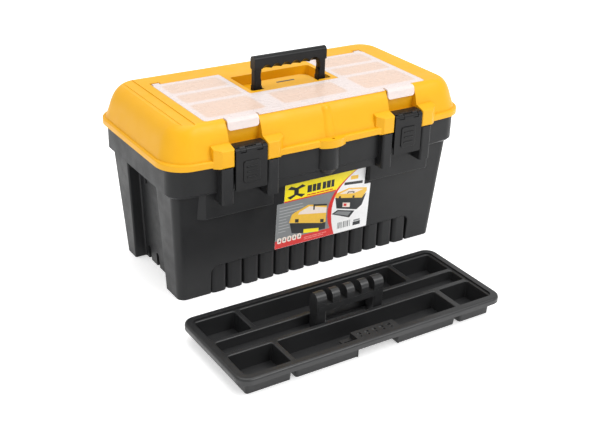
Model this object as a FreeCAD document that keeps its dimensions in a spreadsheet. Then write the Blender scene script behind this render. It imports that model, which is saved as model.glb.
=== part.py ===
"""Toolbox with an organiser lid and a lift-out tray, as a parametric FreeCAD document.

Frame: X runs along the front from left to right, Y from front to rear, Z up.
The origin is the centre of the tub's underside. Every length is in millimetres.
"""

import FreeCAD, Part
import math
import os

import Sketcher

# ---------------------------------------------------------------------------
# Driving dimensions
# ---------------------------------------------------------------------------

DIMENSIONS = {
    # overall
    "lid_length": 560.0,
    "lid_depth": 280.0,
    "lid_top": 298.0,
    "front_bow": 9.0,
    "wall": 3.0,
    "gap": 0.4,
    # tub
    "floor_half_x": 250.0,
    "floor_half_y": 105.0,
    "shoulder_half_x": 262.0,
    "shoulder_half_y": 118.0,
    "shoulder_height": 187.0,
    "tub_corner": 13.0,
    "recess_front": 54.0,
    "foot_recess_rear": 65.0,
    "shoulder_recess_rear": 53.0,
    "end_recess": 20.0,
    "collar_half_x": 270.0,
    "collar_half_y": 130.0,
    "collar_top": 239.5,
    "collar_corner": 26.0,
    "rib_panel_half_x": 195.0,
    "rib_panel_top": 50.0,
    "rib_panel_depth": 6.5,
    "rib_pitch": 30.0,
    "rib_width": 28.8,
    "slot_top": 26.0,
    "slot_width": 10.0,
    "slot_depth": 6.0,
    "belt_inner_x": 92.0,
    "belt_half_x": 212.0,
    "belt_low": 143.0,
    "belt_front": 125.0,
    "label_centre": 12.0,
    "label_half_x": 91.5,
    "label_low": 51.5,
    "label_step": 135.0,
    "label_high": 169.0,
    "label_inset": 13.0,
    "label_thickness": 0.4,
    # lid
    "flange_low": 235.5,
    "flange_high": 246.0,
    "flange_radius": 45.0,
    "organiser_half_x": 206.0,
    "organiser_rear": 72.5,
    "organiser_front": 112.0,
    "bin_floor": 268.0,
    "leg_inner_x": 84.0,
    "handle_well_half_x": 76.0,
    "handle_well_front": 26.0,
    "handle_well_rear": 50.0,
    "handle_well_floor": 281.0,
    # latches
    "latch_x": 147.0,
    "latch_half_width": 27.0,
    "latch_opening": 28.4,
    "column_width": 20.0,
    "column_low": 174.0,
    "column_high": 233.0,
    "ledge": 259.5,
    "latch_pin_y": 146.0,
    "latch_pin_z": 256.0,
    "latch_pin_radius": 1.6,
    "flap_low": 193.0,
    # carry handle
    "handle_half_x": 68.5,
    "post_x": 61.0,
    "post_width": 13.0,
    "pivot_y": 13.0,
    "pivot_z": 290.0,
    "pivot_radius": 3.0,
    "grip_low": 328.5,
    "handle_top": 350.5,
    # lid hinge
    "hinge_y": 145.0,
    "hinge_z": 239.5,
    "hinge_x": 150.0,
    "hinge_pin_radius": 2.5,
    "running_gap": 0.08,
    # organiser cover
    "cover_low": 295.9,
    "cover_high": 298.4,
    "cover_axis_y": 77.0,
    "cover_axis_z": 295.4,
    "cover_hinge_x": 197.0,
    "cover_barrel_width": 12.0,
    "cover_pin_radius": 1.2,
    "tongue_half_width": 26.5,
    # tray
    "tray_length": 468.0,
    "tray_depth": 186.0,
    "tray_rim": 33.4,
    "tray_divider": 30.5,
    "tray_centre_x": -62.0,
    "tray_centre_y": -293.0,
    "grip_top": 75.0,
}


class Dim:
    """A length that carries its spreadsheet expression along with its value."""

    def __init__(self, value, text):
        self.value = float(value)
        self.text = text

    def __add__(self, other):
        other = dim(other)
        return Dim(self.value + other.value, f"({self.text} + {other.text})")

    def __sub__(self, other):
        other = dim(other)
        return Dim(self.value - other.value, f"({self.text} - {other.text})")

    def __mul__(self, other):
        other = dim(other)
        return Dim(self.value * other.value, f"({self.text} * {other.text})")

    def __truediv__(self, other):
        other = dim(other)
        return Dim(self.value / other.value, f"({self.text} / {other.text})")

    def __neg__(self):
        return Dim(-self.value, f"(0 - {self.text})")

    def __radd__(self, other):
        return dim(other) + self

    def __rsub__(self, other):
        return dim(other) - self

    def __rmul__(self, other):
        return dim(other) * self


def dim(value):
    """A plain number as a Dim; a Dim stays as it is."""
    if isinstance(value, Dim):
        return value
    number = round(float(value), 6)
    if number < 0:
        return Dim(number, f"(0 - {-number})")
    return Dim(number, f"{number}")


doc = FreeCAD.newDocument("Toolbox")
sheet = doc.addObject("Spreadsheet::Sheet", "dims")
D = {}
for row, (alias, number) in enumerate(DIMENSIONS.items(), start=1):
    sheet.set(f"A{row}", alias)
    sheet.set(f"B{row}", str(number))
    sheet.setAlias(f"B{row}", alias)
    D[alias] = Dim(number, f"dims.{alias}")
doc.recompute()


# ---------------------------------------------------------------------------
# Sketch and feature helpers
# ---------------------------------------------------------------------------


def bind(target, path, length):
    """Drive one property of an object from the spreadsheet."""
    target.setExpression(path, dim(length).text)


def new_body(name):
    return doc.addObject("PartDesign::Body", name)


def new_sketch(body, name, role="XY_Plane", offset=0):
    """A sketch on one of the body's own origin planes, moved along that plane's normal."""
    sketch = body.newObject("Sketcher::SketchObject", name)
    plane = [item for item in body.Origin.OriginFeatures if item.Role == role][0]
    sketch.AttachmentSupport = [(plane, "")]
    sketch.MapMode = "FlatFace"
    bind(sketch, "AttachmentOffset.Base.z", offset)
    return sketch


def fix_point(sketch, geometry, point, x, y):
    """Hold a sketch point at x, y from the sketch origin."""
    for kind, length in (("DistanceX", dim(x)), ("DistanceY", dim(y))):
        index = sketch.addConstraint(Sketcher.Constraint(kind, -1, 1, geometry, point, length.value))
        sketch.setExpression(f"Constraints[{index}]", length.text)


def add_polygon(sketch, points):
    """A closed polygon with every corner held by the spreadsheet."""
    points = [(dim(x), dim(y)) for x, y in points]
    lines = []
    for (x0, y0), (x1, y1) in zip(points, points[1:] + points[:1]):
        start = FreeCAD.Vector(x0.value, y0.value, 0)
        end = FreeCAD.Vector(x1.value, y1.value, 0)
        lines.append(sketch.addGeometry(Part.LineSegment(start, end)))
    for line, after in zip(lines, lines[1:] + lines[:1]):
        sketch.addConstraint(Sketcher.Constraint("Coincident", line, 2, after, 1))
    for line, (x, y) in zip(lines, points):
        fix_point(sketch, line, 1, x, y)


def unit_step(start, end):
    """The direction of an axis-aligned edge as a pair of -1, 0 or 1."""
    dx = end[0].value - start[0].value
    dy = end[1].value - start[1].value
    if abs(dx) > abs(dy):
        return (int(math.copysign(1, dx)), 0)
    return (0, int(math.copysign(1, dy)))


def add_corner_arc(sketch, corner, before, after):
    """A fillet arc at one corner; returns its geometry and the point ids that join before and after."""
    x, y, radius = corner
    arc_x = x - radius * before[0] + radius * after[0]
    arc_y = y - radius * before[1] + radius * after[1]
    centre = FreeCAD.Vector(arc_x.value, arc_y.value, 0)
    angle_in = math.atan2(-after[1], -after[0])
    angle_out = math.atan2(before[1], before[0])
    turns_left = before[0] * after[1] - before[1] * after[0] > 0
    first, last = (angle_in, angle_out) if turns_left else (angle_out, angle_in)
    if last < first:
        last += 2 * math.pi
    circle = Part.Circle(centre, FreeCAD.Vector(0, 0, 1), radius.value)
    arc = sketch.addGeometry(Part.ArcOfCircle(circle, first, last))
    enter, leave = (1, 2) if turns_left else (2, 1)
    fix_point(sketch, arc, 3, arc_x, arc_y)
    index = sketch.addConstraint(Sketcher.Constraint("Radius", arc, radius.value))
    sketch.setExpression(f"Constraints[{index}]", radius.text)
    enter_kind, leave_kind = ("Vertical", "Horizontal") if before[0] else ("Horizontal", "Vertical")
    sketch.addConstraint(Sketcher.Constraint(enter_kind, arc, enter, arc, 3))
    sketch.addConstraint(Sketcher.Constraint(leave_kind, arc, leave, arc, 3))
    return arc, enter, leave


def add_rounded(sketch, corners, bow=None):
    """A closed axis-aligned outline with rounded corners, given counter-clockwise as x, y, radius.

    With bow, the first edge is an arc that bulges outward by that much at its middle.
    """
    corners = [(dim(x), dim(y), dim(radius)) for x, y, radius in corners]
    count = len(corners)
    steps = [unit_step(corners[i], corners[(i + 1) % count]) for i in range(count)]
    arcs = [add_corner_arc(sketch, corners[i], steps[i - 1], steps[i]) for i in range(count)]
    for i in range(count):
        step = steps[i]
        (x0, y0, r0), (x1, y1, r1) = corners[i], corners[(i + 1) % count]
        start = FreeCAD.Vector(x0.value + step[0] * r0.value, y0.value + step[1] * r0.value, 0)
        end = FreeCAD.Vector(x1.value - step[0] * r1.value, y1.value - step[1] * r1.value, 0)
        if bow is not None and i == 0:
            chord = x1 - r1 - x0 - r0
            radius = chord * chord / (8 * dim(bow)) + dim(bow) / 2
            middle = FreeCAD.Vector((start.x + end.x) / 2, start.y - dim(bow).value, 0)
            edge = sketch.addGeometry(Part.Arc(start, middle, end))
            index = sketch.addConstraint(Sketcher.Constraint("Radius", edge, radius.value))
            sketch.setExpression(f"Constraints[{index}]", radius.text)
        else:
            edge = sketch.addGeometry(Part.LineSegment(start, end))
        sketch.addConstraint(Sketcher.Constraint("Coincident", arcs[i][0], arcs[i][2], edge, 1))
        following = arcs[(i + 1) % count]
        sketch.addConstraint(Sketcher.Constraint("Coincident", edge, 2, following[0], following[1]))


def rectangle_corners(x0, x1, y0, y1, radius):
    return [(x0, y0, radius), (x1, y0, radius), (x1, y1, radius), (x0, y1, radius)]


def pad(body, sketch, length, taper=0, reverse=False):
    feature = body.newObject("PartDesign::Pad", sketch.Name + "_pad")
    feature.Profile = sketch
    bind(feature, "Length", length)
    feature.TaperAngle = taper
    feature.Reversed = reverse
    sketch.Visibility = False
    return feature


def pocket(body, sketch, length, taper=0, reverse=False):
    """A pocket whose removed volume is checked, because one that points away cuts nothing."""
    doc.recompute()
    before = body.Shape.Volume
    feature = body.newObject("PartDesign::Pocket", sketch.Name + "_pocket")
    feature.Profile = sketch
    bind(feature, "Length", length)
    feature.TaperAngle = taper
    feature.Reversed = reverse
    doc.recompute()
    if not body.Shape.Volume < before - 1:
        raise RuntimeError(f"{feature.Name} removed nothing")
    return feature


def loft(body, sketches, ruled=False):
    feature = body.newObject("PartDesign::AdditiveLoft", sketches[0].Name + "_loft")
    feature.Profile = sketches[0]
    feature.Sections = sketches[1:]
    feature.Ruled = ruled
    return feature


def edge_names(shape, test):
    """Names of the edges whose two ends both pass the test."""
    names = []
    for index, edge in enumerate(shape.Edges, start=1):
        if all(test(vertex.Point) for vertex in edge.Vertexes):
            names.append(f"Edge{index}")
    return names


def round_edges(body, radius, test, kind="Fillet"):
    """Fillet or chamfer the edges of the body's tip that pass the test."""
    doc.recompute()
    base = body.Tip
    feature = body.newObject(f"PartDesign::{kind}", f"{body.Name}_{kind.lower()}")
    feature.Base = (base, edge_names(base.Shape, test))
    bind(feature, "Radius" if kind == "Fillet" else "Size", radius)
    return feature


def place(item, x, y, z):
    for axis, length in zip("xyz", (x, y, z)):
        bind(item, f"Placement.Base.{axis}", length)


def block(name, x0, x1, y0, y1, z0, z1):
    """A box between two corners."""
    box = doc.addObject("Part::Box", name)
    bind(box, "Length", dim(x1) - x0)
    bind(box, "Width", dim(y1) - y0)
    bind(box, "Height", dim(z1) - z0)
    place(box, x0, y0, z0)
    return box


AXIS_ROTATION = {
    "x": FreeCAD.Rotation(FreeCAD.Vector(0, 1, 0), 90),
    "y": FreeCAD.Rotation(FreeCAD.Vector(1, 0, 0), -90),
    "z": FreeCAD.Rotation(),
}


def rod(name, axis, x, y, z, radius, length):
    """A cylinder that starts at x, y, z and runs along an axis."""
    cylinder = doc.addObject("Part::Cylinder", name)
    bind(cylinder, "Radius", radius)
    bind(cylinder, "Height", length)
    cylinder.Placement = FreeCAD.Placement(FreeCAD.Vector(), AXIS_ROTATION[axis])
    place(cylinder, x, y, z)
    return cylinder


def cone(name, x, y, z, low_radius, high_radius, height):
    """An upright cone frustum."""
    item = doc.addObject("Part::Cone", name)
    bind(item, "Radius1", low_radius)
    bind(item, "Radius2", high_radius)
    bind(item, "Height", height)
    place(item, x, y, z)
    return item


def fuse(name, items):
    result = doc.addObject("Part::MultiFuse", name)
    result.Shapes = items
    result.Refine = True
    return result


def cut(name, base, tools):
    result = doc.addObject("Part::Cut", name)
    result.Base = base
    result.Tool = tools[0] if len(tools) == 1 else fuse(name + "_tools", tools)
    result.Refine = True
    return result


def soften(name, item, radius, test):
    """A Part fillet on the edges of an item whose ends pass the test."""
    doc.recompute()
    result = doc.addObject("Part::Fillet", name)
    result.Base = item
    value = dim(radius).value
    result.Edges = [(int(edge[4:]), value, value) for edge in edge_names(item.Shape, test)]
    return result


def rounded_block(name, x0, x1, y0, y1, z0, z1, radius):
    """A box with its four upright edges rounded."""
    body = new_body(name)
    sketch = new_sketch(body, name + "_plan", offset=z0)
    add_rounded(sketch, rectangle_corners(x0, x1, y0, y1, radius))
    pad(body, sketch, dim(z1) - z0)
    return body


def prism_x(name, x0, x1, points):
    """A polygon in the YZ plane, swept along X from x0 to x1."""
    body = new_body(name)
    sketch = new_sketch(body, name + "_profile", "YZ_Plane", x0)
    add_polygon(sketch, points)
    pad(body, sketch, dim(x1) - x0)
    return body


SIDES = (("left", -1), ("right", 1))
finished = []


def finish(name, item):
    """Name the object whose shape becomes a sub-part."""
    item.Label = name
    finished.append(item)
    return item


# ---------------------------------------------------------------------------
# Tub
# ---------------------------------------------------------------------------


def tub_plan(half_x, half_y, recess, corner):
    """The tub's plan: a rounded rectangle with a wide recess, from front to rear, in each end."""
    inner_x = half_x - D["end_recess"]
    front, rear = recess
    small = 3
    return [
        (-half_x, -half_y, corner),
        (half_x, -half_y, corner),
        (half_x, front, small),
        (inner_x, front, small),
        (inner_x, rear, small),
        (half_x, rear, small),
        (half_x, half_y, corner),
        (-half_x, half_y, corner),
        (-half_x, rear, small),
        (-inner_x, rear, small),
        (-inner_x, front, small),
        (-half_x, front, small),
    ]


def tub_loft(name, low_z, high_z, inset):
    """The tub's drafted wall between two heights, moved inward by inset on every side."""
    body = new_body(name)
    sketches = []
    for label, z in (("low", dim(low_z)), ("high", dim(high_z))):
        share = z / D["shoulder_height"]
        half_x = D["floor_half_x"] + (D["shoulder_half_x"] - D["floor_half_x"]) * share - inset
        half_y = D["floor_half_y"] + (D["shoulder_half_y"] - D["floor_half_y"]) * share - inset
        rear = D["foot_recess_rear"] + (D["shoulder_recess_rear"] - D["foot_recess_rear"]) * share + inset
        recess = (-D["recess_front"] - inset, rear)
        sketch = new_sketch(body, f"{name}_{label}", offset=z)
        add_rounded(sketch, tub_plan(half_x, half_y, recess, D["tub_corner"] - inset))
        sketches.append(sketch)
    loft(body, sketches, ruled=True)
    return body


def collar_body(name, low, high, inset, bow):
    body = new_body(name)
    sketch = new_sketch(body, name + "_plan", offset=low)
    half_x = D["collar_half_x"] - inset
    half_y = D["collar_half_y"] - inset
    add_rounded(sketch, rectangle_corners(-half_x, half_x, -half_y, half_y, D["collar_corner"] - inset), bow)
    pad(body, sketch, dim(high) - low)
    return body


def foot_panel_tools():
    """Recesses in the foot of the front and rear walls, and the rounded pilasters that fill them."""
    panel_y = D["floor_half_y"] - D["rib_panel_depth"]
    reach = 40
    half_x = D["rib_panel_half_x"]
    top = D["rib_panel_top"]
    count = 13
    recesses = []
    ribs = []
    for name, sign in (("front", -1), ("rear", 1)):
        body = new_body(f"{name}_foot_panel")
        start = panel_y if sign < 0 else -panel_y - reach
        sketch = new_sketch(body, f"{name}_foot_panel_outline", "XZ_Plane", start)
        add_rounded(sketch, [(-half_x, -20, 8), (half_x, -20, 8), (half_x, top, 12), (-half_x, top, 12)])
        pad(body, sketch, reach)
        recesses.append(body)
        near, far = panel_y - 9.5, D["floor_half_y"] + 1
        y0, y1 = (-far, -near) if sign < 0 else (near, far)
        for index in range(count):
            x = D["rib_pitch"] * (index - (count - 1) / 2)
            ribs.append(rounded_block(f"{name}_rib_{index}", x - D["rib_width"] / 2, x + D["rib_width"] / 2,
                                      y0, y1, 0, top - 1.5, 8))
    return recesses, ribs


def on_panel_outline(point):
    """True on the outline that a foot panel leaves on the face of the front or rear wall."""
    inside = abs(point.x) < D["rib_panel_half_x"].value + 0.1 and point.z < D["rib_panel_top"].value + 0.1
    return inside and abs(point.y) > D["floor_half_y"].value - 0.1


def end_slots():
    """Four upright slots at the foot of each end recess, and the material that closes them inside."""
    slots = []
    backings = []
    near = D["floor_half_x"] - D["end_recess"] - D["slot_depth"]
    reach = 36
    half = D["slot_width"] / 2
    for name, sign in SIDES:
        for index, y in enumerate((-48.5, -16.5, 16.5, 48.5)):
            body = new_body(f"end_slot_{name}_{index}")
            start = near if sign > 0 else -near - reach
            sketch = new_sketch(body, f"end_slot_{name}_{index}_outline", "YZ_Plane", start)
            add_rounded(sketch, [(y - half, -20, 1), (y + half, -20, 1), (y + half, D["slot_top"], 4.8),
                                 (y - half, D["slot_top"], 4.8)])
            pad(body, sketch, reach)
            slots.append(body)
            x0, x1 = (-near - 5.5, -near + 3) if sign < 0 else (near - 3, near + 5.5)
            backings.append(block(f"slot_backing_{name}_{index}", x0, x1, y - half - 3, y + half + 3,
                                  0, D["slot_top"] + 3))
    return slots, backings


def latch_columns():
    """Upright columns that flank each latch, with the belt under them and the catch between them."""
    pieces = []
    for name, sign in SIDES:
        centre = D["latch_x"] * sign
        for label, side in (("inner", -sign), ("outer", sign)):
            near = centre + (D["latch_opening"] + 1) * side
            far = near + D["column_width"] * side
            x0, x1 = (near, far) if side > 0 else (far, near)
            pieces.append(rounded_block(f"column_{name}_{label}", x0, x1, -150, -114, D["column_low"],
                                        D["column_high"], 4))
        pieces.append(block(f"catch_{name}", centre - 16, centre + 16, -147.1, -128, 198, 204))
    return pieces


def belt_panels():
    """The proud belt below the collar, open in the middle where the label reaches up."""
    pieces = []
    inner, outer, root = D["belt_inner_x"], D["belt_half_x"], D["belt_half_x"] + 14
    front = -D["belt_front"]
    for name, sign in SIDES:
        points = [(inner, -105), (inner, front), (outer, front), (root, front + 13), (root, -105)]
        if sign < 0:
            points = [(-x, y) for x, y in reversed(points)]
        body = new_body(f"belt_{name}")
        sketch = new_sketch(body, f"belt_{name}_plan", offset=D["belt_low"])
        add_polygon(sketch, points)
        pad(body, sketch, 200 - D["belt_low"])
        round_edges(body, 2.5, lambda point: point.y < -124.9)
        pieces.append(body)
    pieces.append(rounded_block("collar_apron", -97, 97, -137, -105, 177, 200, 5))
    return pieces


def hinge_leaf(name, width, offsets, lid_side):
    """Barrels round the rear hinge axis, each on a web that reaches its own shell."""
    pieces = []
    radius = 6.0
    for hinge, sign in SIDES:
        for index, offset in enumerate(offsets):
            x = D["hinge_x"] * sign + offset
            label = f"{name}_{hinge}_{index}"
            pieces.append(rod(f"{label}_barrel", "x", x - width / 2, D["hinge_y"], D["hinge_z"], radius, width))
            y, z = D["hinge_y"], D["hinge_z"]
            if lid_side:
                points = [(y - 14, z + 1), (y, z - 5.4), (y + 4, z + 4.4), (y - 8, z + 18), (y - 14, z + 18)]
            else:
                points = [(y - 20, z - 18), (y, z - 6), (y, z), (y - 20, z)]
            pieces.append(prism_x(f"{label}_web", x - width / 2, x + width / 2, points))
    return pieces


def hinge_bores(name, radius, length):
    """Bores along the rear hinge axis, one for each of the two hinges."""
    return [rod(f"{name}_{hinge}", "x", D["hinge_x"] * sign - length / 2, D["hinge_y"], D["hinge_z"],
                radius, length) for hinge, sign in SIDES]


def make_tub():
    wall = D["wall"]
    shell = tub_loft("tub_wall", 0, D["shoulder_height"], 0)
    collar = collar_body("collar", D["shoulder_height"], D["collar_top"], 0, D["front_bow"])
    round_edges(collar, 4, lambda point: point.z < D["shoulder_height"].value + 0.01, "Chamfer")
    recesses, ribs = foot_panel_tools()
    panelled = soften("panelled_wall", cut("recessed_wall", shell, recesses), 1.2, on_panel_outline)
    slots, backings = end_slots()
    padlock_post = rod("padlock_post", "z", 0, -133, 194, 20, 38.5)
    padlock_foot = cone("padlock_foot", 0, -133, 184, 11, 20, 10)
    knuckles = hinge_leaf("tub_knuckle", 12, (-19, 19), False)
    outside = [panelled, collar, padlock_post, padlock_foot] + ribs + latch_columns() + belt_panels() + knuckles
    solid = fuse("tub_solid", outside)
    shoulder_inside = D["shoulder_height"] + 4
    foot_space = new_body("foot_space")
    sketch = new_sketch(foot_space, "foot_space_plan", offset=wall)
    half_y = D["floor_half_y"] - D["rib_panel_depth"] - wall
    recess = (-D["recess_front"] - wall, D["foot_recess_rear"] + wall)
    add_rounded(sketch, tub_plan(D["floor_half_x"] - wall, half_y, recess, D["tub_corner"] - wall))
    pad(foot_space, sketch, 53)
    main_space = tub_loft("main_space", 54, shoulder_inside, wall)
    collar_space = collar_body("collar_space", shoulder_inside, D["collar_top"] + 5, 5, D["front_bow"])
    padlock_bore = rod("tub_padlock_bore", "z", 0, -149, 210, 2.6, 30)
    bores = hinge_bores("tub_hinge_bore", D["hinge_pin_radius"] + D["running_gap"], 60)
    hollowed = cut("tub_hollowed", solid, [foot_space, main_space, collar_space, padlock_bore] + bores)
    rests = []
    for name, sign in SIDES:
        for label, y in (("front", -34), ("rear", 30)):
            x0, x1 = (-242, -229) if sign < 0 else (229, 242)
            rests.append(block(f"tray_rest_{name}_{label}", x0, x1, y, y + 4, 150, 190))
    return finish("base_tub", cut("tub", fuse("tub_backed", [hollowed] + rests + backings), slots))


# ---------------------------------------------------------------------------
# Lid
# ---------------------------------------------------------------------------

# Sections of the dome: height, half length, half depth, front bow and corner radius.
DOME = (
    (242.0, 276.5, 136.5, 6.0, 43.0),
    (256.0, 272.5, 132.5, 4.5, 42.0),
    (274.0, 266.5, 128.0, 3.0, 39.0),
    (286.0, 260.0, 124.0, 2.0, 35.0),
    (293.5, 252.0, 119.5, 1.0, 30.0),
    (298.0, 238.0, 111.0, 0.5, 22.0),
)


def dome_body(name, inset, lowest, highest):
    body = new_body(name)
    sketches = []
    for index, (height, half_x, half_y, bow, corner) in enumerate(DOME):
        z = height
        if index == 0:
            z = lowest
        if index == len(DOME) - 1:
            z = highest
        scale_x = D["lid_length"] * (half_x / 560.0) - inset
        scale_y = D["lid_depth"] * (half_y / 280.0) - inset
        sketch = new_sketch(body, f"{name}_section_{index}", offset=z)
        add_rounded(sketch, rectangle_corners(-scale_x, scale_x, -scale_y, scale_y, corner - inset), bow)
        sketches.append(sketch)
    loft(body, sketches)
    return body


def flange_body():
    body = new_body("flange")
    sketch = new_sketch(body, "flange_plan", offset=D["flange_low"])
    half_x = D["lid_length"] / 2
    half_y = D["lid_depth"] / 2
    add_rounded(sketch, rectangle_corners(-half_x, half_x, -half_y, half_y, D["flange_radius"]), D["front_bow"])
    pad(body, sketch, D["flange_high"] - D["flange_low"])
    round_edges(body, 3, lambda point: point.z > D["flange_high"].value - 0.01)
    return body


def latch_lug(name, centre, side):
    """One raised lug beside a latch: its plan and its sloping side view, crossed and softened."""
    inner = D["latch_opening"]
    low = D["column_high"] + 0.5
    points = [(inner, -126), (inner, -150), (49, -150), (60, -142), (60, -126)]
    if side < 0:
        points.reverse()
    plan = new_body(f"{name}_plan")
    sketch = new_sketch(plan, f"{name}_outline", offset=low)
    add_polygon(sketch, [(centre + x * side, y) for x, y in points])
    pad(plan, sketch, 40)
    profile = [(-160, low), (-126, low), (-126, 266.5), (-133, 266.5), (-160, 258.5)]
    slope = prism_x(f"{name}_slope", centre - 65, centre + 65, profile)
    lug = doc.addObject("Part::Common", name)
    lug.Base = plan
    lug.Tool = slope
    return soften(f"{name}_soft", lug, 2.5, lambda point: point.y < -149.9)


def lid_front_pieces():
    """Lugs beside the latches, the padlock lug and the half-round boss above it."""
    pieces = []
    for name, sign in SIDES:
        for label, side in (("inner", -sign), ("outer", sign)):
            pieces.append(latch_lug(f"lug_{name}_{label}", D["latch_x"] * sign, side))
    lug = rod("padlock_lug_disc", "z", 0, -117, 233, 40, 13)
    window = block("padlock_lug_window", -24, 24, -160, -141, 232, 247)
    common = doc.addObject("Part::Common", "padlock_lug")
    common.Base = lug
    common.Tool = window
    pieces.append(common)
    boss = cone("boss", 0, -129.5, 236, 17, 11, 50)
    boss.Placement.Rotation = FreeCAD.Rotation(FreeCAD.Vector(1, 0, 0), -13)
    tip = doc.addObject("Part::Sphere", "boss_tip")
    bind(tip, "Radius", 11.2)
    place(tip, 0, -118.4, 283.6)
    pieces.extend([boss, tip])
    return pieces


# Bins under the organiser cover: x and y spans of the left leg, whose mirror is the right leg.
LEG_BINS = ((-104.0, -36.0), (-32.0, 12.0), (16.0, 66.0))


def organiser_tools():
    """The shallow U-shaped seat of the cover and the seven bins below it."""
    tools = []
    seat_z = D["cover_low"] - D["gap"]
    seat = new_body("cover_seat")
    sketch = new_sketch(seat, "cover_seat_plan", offset=seat_z)
    half_x = D["organiser_half_x"]
    leg = D["leg_inner_x"]
    rear = D["organiser_rear"]
    add_rounded(sketch, [(-half_x, -D["organiser_front"], 6), (half_x, -D["organiser_front"], 6),
                         (half_x, rear, 6), (leg, rear, 3), (leg, -34, 3), (-leg, -34, 3),
                         (-leg, rear, 3), (-half_x, rear, 6)])
    pad(seat, sketch, 10)
    tools.append(seat)
    apron = block("cover_seat_front", -119, 119, -128, -110, seat_z, 305)
    tools.append(apron)
    depth = seat_z - D["bin_floor"] + 2
    for name, sign in SIDES:
        for index, (y0, y1) in enumerate(LEG_BINS):
            x0, x1 = (-half_x + 7, -leg - 6) if sign < 0 else (leg + 6, half_x - 7)
            bin_body = new_body(f"bin_{name}_{index}")
            sketch = new_sketch(bin_body, f"bin_{name}_{index}_plan", offset=D["bin_floor"])
            add_rounded(sketch, rectangle_corners(x0, x1, y0, y1, 6))
            pad(bin_body, sketch, depth)
            tools.append(bin_body)
    front_bin = new_body("bin_front")
    sketch = new_sketch(front_bin, "bin_front_plan", offset=D["bin_floor"])
    add_rounded(sketch, rectangle_corners(-64, 64, -104, -42, 6))
    pad(front_bin, sketch, depth)
    tools.append(front_bin)
    return tools


def handle_well_tools():
    """The well that the carry handle folds into, round a raised centre platform."""
    well = new_body("handle_well")
    sketch = new_sketch(well, "handle_well_plan", offset=D["handle_well_floor"])
    half_x = D["handle_well_half_x"]
    front = -D["handle_well_front"]
    add_rounded(sketch, rectangle_corners(-half_x, half_x, front, D["handle_well_rear"], 5))
    pad(well, sketch, 30)
    platform = new_body("platform")
    sketch = new_sketch(platform, "platform_plan", offset=D["handle_well_floor"] - 1)
    add_rounded(sketch, [(-50, front - 10, 2), (50, front - 10, 2), (50, 17, 16), (-50, 17, 16)])
    pad(platform, sketch, 296 - D["handle_well_floor"] + 1)
    channel = cut("handle_channel", well, [platform])
    apron = block("platform_step", -50, 50, -30, 20, 296, 310)
    bores = []
    for name, sign in SIDES:
        x0 = D["post_x"] * sign - 20
        bores.append(rod(f"pivot_bore_{name}", "x", x0, -D["pivot_y"], D["pivot_z"],
                         D["pivot_radius"] + D["running_gap"], 40))
    return [channel, apron] + bores


def latch_notch(name, centre):
    """The notch above one latch, its opening in the flange and the seat of the tongue over it."""
    half = D["latch_opening"]
    return [
        block(f"notch_{name}", centre - half, centre + half, -170, -119, D["ledge"], 310),
        block(f"flange_gap_{name}", centre - half, centre + half, -170, -140.8, 225, 262),
        block(f"tongue_seat_{name}", centre - half, centre + half, -125, -108, D["cover_low"] - D["gap"], 310),
    ]


def cover_hinge_tools(name, sign):
    """The pocket round one cover hinge and the bore of its pin."""
    x = D["cover_hinge_x"] * sign
    near, far = D["cover_barrel_width"] / 2 + 2, D["organiser_half_x"] - D["cover_hinge_x"] - D["gap"]
    x0, x1 = (x - far, x + near) if sign < 0 else (x - near, x + far)
    hole = block(f"cover_hinge_pocket_{name}", x0, x1, 70, 82, 291, 305)
    bore = rod(f"cover_hinge_bore_{name}", "x", x - 14, D["cover_axis_y"], D["cover_axis_z"],
               D["cover_pin_radius"] + D["running_gap"], 28)
    return [hole, bore]


def make_lid():
    dome = dome_body("dome", 0, D["flange_high"] - 4, D["lid_top"])
    hollow = dome_body("dome_hollow", D["wall"], D["flange_low"] - 1, D["lid_top"] - 3)
    organiser = block("organiser_mass", -D["organiser_half_x"] - 3, D["organiser_half_x"] + 3,
                      -121, 86, D["bin_floor"] - 3, 300)
    housings = []
    notches = []
    hinge_pockets = []
    for name, sign in SIDES:
        centre = D["latch_x"] * sign
        half = D["latch_opening"] + 3
        housings.append(block(f"notch_housing_{name}", centre - half, centre + half, -150, -114, 253, 300))
        notches.extend(latch_notch(name, centre))
        hinge_pockets.extend(cover_hinge_tools(name, sign))
    space = cut("lid_space", hollow, [organiser] + housings)
    knuckles = hinge_leaf("lid_knuckle", 25, (0,), True)
    solid = fuse("lid_solid", [dome, flange_body()] + lid_front_pieces() + knuckles)
    steps = []
    for name, sign in SIDES:
        for label, x, z in (("inner", 222, 296.9), ("outer", 240, 296.3)):
            x0, x1 = (-300, -x) if sign < 0 else (x, 300)
            steps.append(block(f"step_{name}_{label}", x0, x1, -150, 150, z, 310))
    skirt = collar_body("skirt_space", D["flange_low"] - 5, D["collar_top"] + 3.5, -3, D["front_bow"])
    knuckle_gaps = []
    for name, sign in SIDES:
        for label, offset in (("a", -19), ("b", 19)):
            x = D["hinge_x"] * sign + offset
            knuckle_gaps.append(block(f"knuckle_gap_{name}_{label}", x - 6.5, x + 6.5, 130, 155,
                                      D["hinge_z"] - 11, D["hinge_z"] + 7.5))
    padlock_bore = rod("lid_padlock_bore", "z", 0, -149, 225, 2.6, 40)
    bores = hinge_bores("lid_hinge_bore", D["hinge_pin_radius"] + D["running_gap"], 60)
    tools = [space, skirt, padlock_bore] + notches + hinge_pockets + steps + knuckle_gaps + bores
    return finish("lid_shell", cut("lid", solid, tools + organiser_tools() + handle_well_tools()))


# ---------------------------------------------------------------------------
# Organiser cover
# ---------------------------------------------------------------------------


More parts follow.
